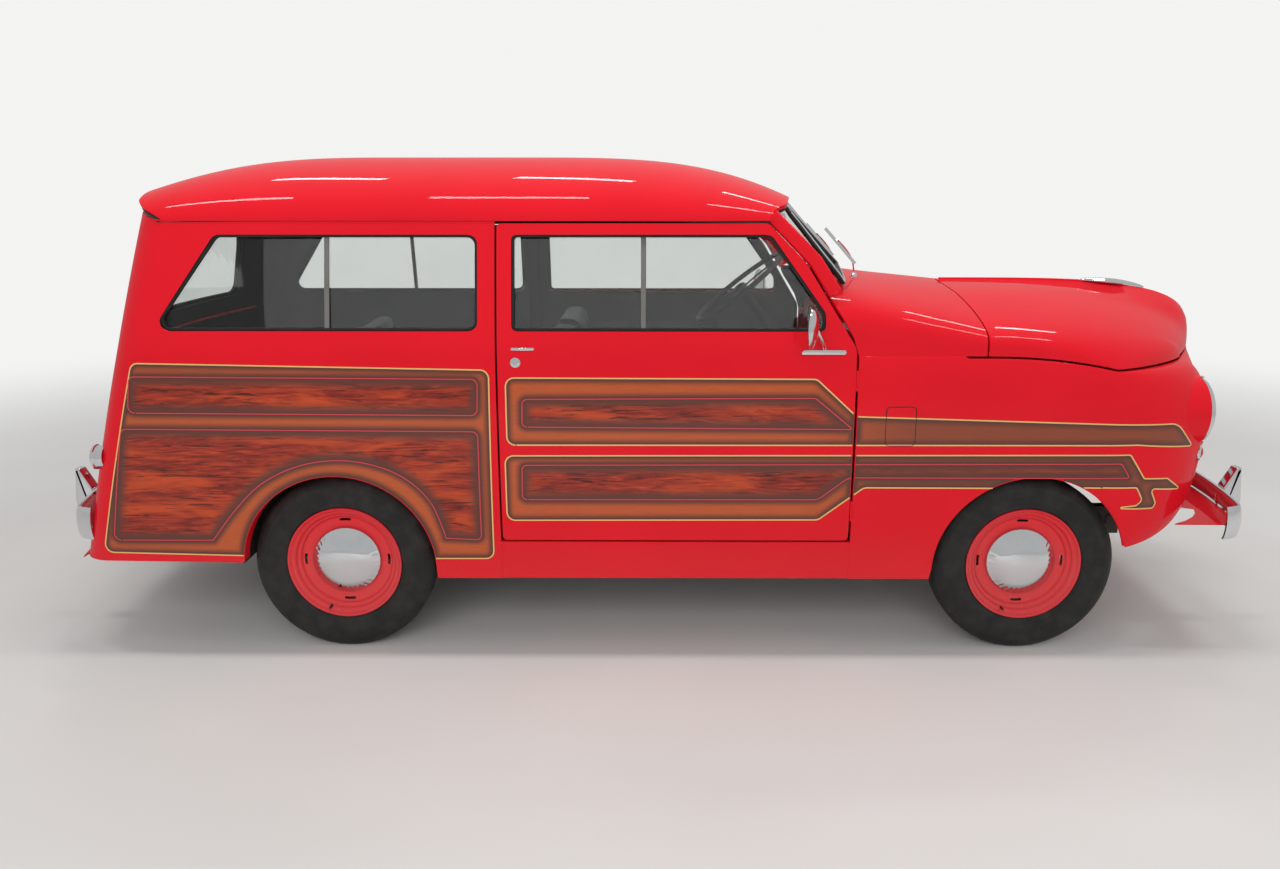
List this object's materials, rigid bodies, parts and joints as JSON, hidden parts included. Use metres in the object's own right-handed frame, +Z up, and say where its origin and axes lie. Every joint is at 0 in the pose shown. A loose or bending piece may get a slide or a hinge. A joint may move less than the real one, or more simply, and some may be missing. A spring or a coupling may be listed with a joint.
{
  "type": "station wagon",
  "caption": "Compact two-door station wagon with opening doors, hood, tailgate and liftgate, steered front wheels and a glazed, seated cabin.",
  "frame": {"origin": "on the ground under the middle of the overall length and width", "axes": "+X forward along the car, +Y to its left, +Z up"},
  "size_m": [3.6818, 1.4842, 1.46],
  "materials": {
    "red_paint": "deep gloss enamel",
    "black_paint": "satin chassis black",
    "chrome": "bright plate",
    "glass": "clear, slightly grey",
    "lamp_glass": "clear ribbed lens",
    "red_lens": "translucent red",
    "rubber": "matte black gasket",
    "tyre": "black sidewall",
    "wheel_paint": "gloss red",
    "trim_vinyl": "smooth black vinyl",
    "steel": "dull machined steel"
  },
  "bodies": {
    "root": {"floor_pan": "black_paint", "underframe": "black_paint", "sill_right": "red_paint", "sill_left": "red_paint", "quarter_panel_right": "red_paint", "quarter_panel_left": "red_paint", "fender_right": "red_paint", "fender_left": "red_paint", "cowl": "red_paint", "roof": "red_paint", "front_panel": "red_paint", "rear_panel": "red_paint", "windshield": "glass", "windshield_frame": "rubber", "quarter_glass": "glass", "splash_aprons": "red_paint", "grille": "chrome", "front_bumper": "chrome", "rear_bumper": "chrome", "headlights": "lamp_glass", "tail_lights": "red_lens", "dashboard": "trim_vinyl", "steering_column": "black_paint", "front_seats": "trim_vinyl", "rear_seat": "trim_vinyl", "engine": "steel", "exhaust": "steel", "fuel_tank": "black_paint", "front_axle": "black_paint", "rear_axle": "black_paint", "leaf_springs": "black_paint"},
    "door_right": {"door_right": "red_paint", "door_glass_right": "glass", "mirror_right": "chrome"},
    "door_left": {"door_left": "red_paint", "door_glass_left": "glass", "mirror_left": "chrome"},
    "hood": {"hood": "red_paint"},
    "tailgate": {"tailgate": "red_paint"},
    "liftgate": {"liftgate": "red_paint", "liftgate_glass": "glass"},
    "steering_wheel": {"steering_wheel": "trim_vinyl"},
    "knuckle_right": {"knuckle_right": "black_paint"},
    "knuckle_left": {"knuckle_left": "black_paint"},
    "tie_rod": {"tie_rod": "black_paint"},
    "wheel_front_right": {"wheel_front_right": "wheel_paint", "tyre_front_right": "tyre"},
    "wheel_front_left": {"wheel_front_left": "wheel_paint", "tyre_front_left": "tyre"},
    "wheel_rear_right": {"wheel_rear_right": "wheel_paint", "tyre_rear_right": "tyre"},
    "wheel_rear_left": {"wheel_rear_left": "wheel_paint", "tyre_rear_left": "tyre"}
  },
  "joints": [
    {"name": "door_right_hinge", "type": "hinge", "parent": "root", "child": "door_right", "pos_m": [0.5625, -0.6145, 0.65], "axis": [0, 0, 1], "range_deg": [0, 65]},
    {"name": "door_left_hinge", "type": "hinge", "parent": "root", "child": "door_left", "pos_m": [0.5625, 0.6145, 0.65], "axis": [0, 0, -1], "range_deg": [0, 65]},
    {"name": "hood_hinge", "type": "hinge", "parent": "root", "child": "hood", "pos_m": [0.9275, 0, 1.071], "axis": [0, -1, 0], "range_deg": [0, 48]},
    {"name": "tailgate_hinge", "type": "hinge", "parent": "root", "child": "tailgate", "pos_m": [-1.70072, 0, 0.549], "axis": [0, -1, 0], "range_deg": [0, 100]},
    {"name": "liftgate_hinge", "type": "hinge", "parent": "root", "child": "liftgate", "pos_m": [-1.53568, 0, 1.341], "axis": [0, 1, 0], "range_deg": [0, 80]},
    {"name": "steer_left", "type": "hinge", "parent": "root", "child": "knuckle_left", "pos_m": [1.096, 0.44, 0.27], "axis": [0, 0, 1], "range_deg": [-28, 28]},
    {"name": "steer_right", "type": "hinge", "parent": "root", "child": "knuckle_right", "pos_m": [1.096, -0.44, 0.27], "axis": [0, 0, 1], "range_deg": [-28, 28]},
    {"name": "steering_wheel_turn", "type": "hinge", "parent": "root", "child": "steering_wheel", "pos_m": [0.302, 0.262, 1.018], "axis": [-0.6247, 0, 0.7809], "range_deg": [-336, 336]},
    {"name": "tie_rod_pivot", "type": "hinge", "parent": "knuckle_left", "child": "tie_rod", "pos_m": [0.976, 0.44, 0.221], "axis": [0, 0, 1], "range_deg": [-28, 28]},
    {"name": "spin_front_right", "type": "hinge", "parent": "knuckle_right", "child": "wheel_front_right", "pos_m": [1.096, -0.508, 0.27], "axis": [0, 1, 0], "continuous": true},
    {"name": "spin_front_left", "type": "hinge", "parent": "knuckle_left", "child": "wheel_front_left", "pos_m": [1.096, 0.508, 0.27], "axis": [0, 1, 0], "continuous": true},
    {"name": "spin_rear_right", "type": "hinge", "parent": "root", "child": "wheel_rear_right", "pos_m": [-0.936, -0.508, 0.27], "axis": [0, 1, 0], "continuous": true},
    {"name": "spin_rear_left", "type": "hinge", "parent": "root", "child": "wheel_rear_left", "pos_m": [-0.936, 0.508, 0.27], "axis": [0, 1, 0], "continuous": true}
  ],
  "couplings": [
    {"joint": "steer_right", "follows": "steer_left", "ratio": 1},
    {"joint": "steering_wheel_turn", "follows": "steer_left", "ratio": 12},
    {"joint": "tie_rod_pivot", "follows": "steer_left", "ratio": -1}
  ]
}
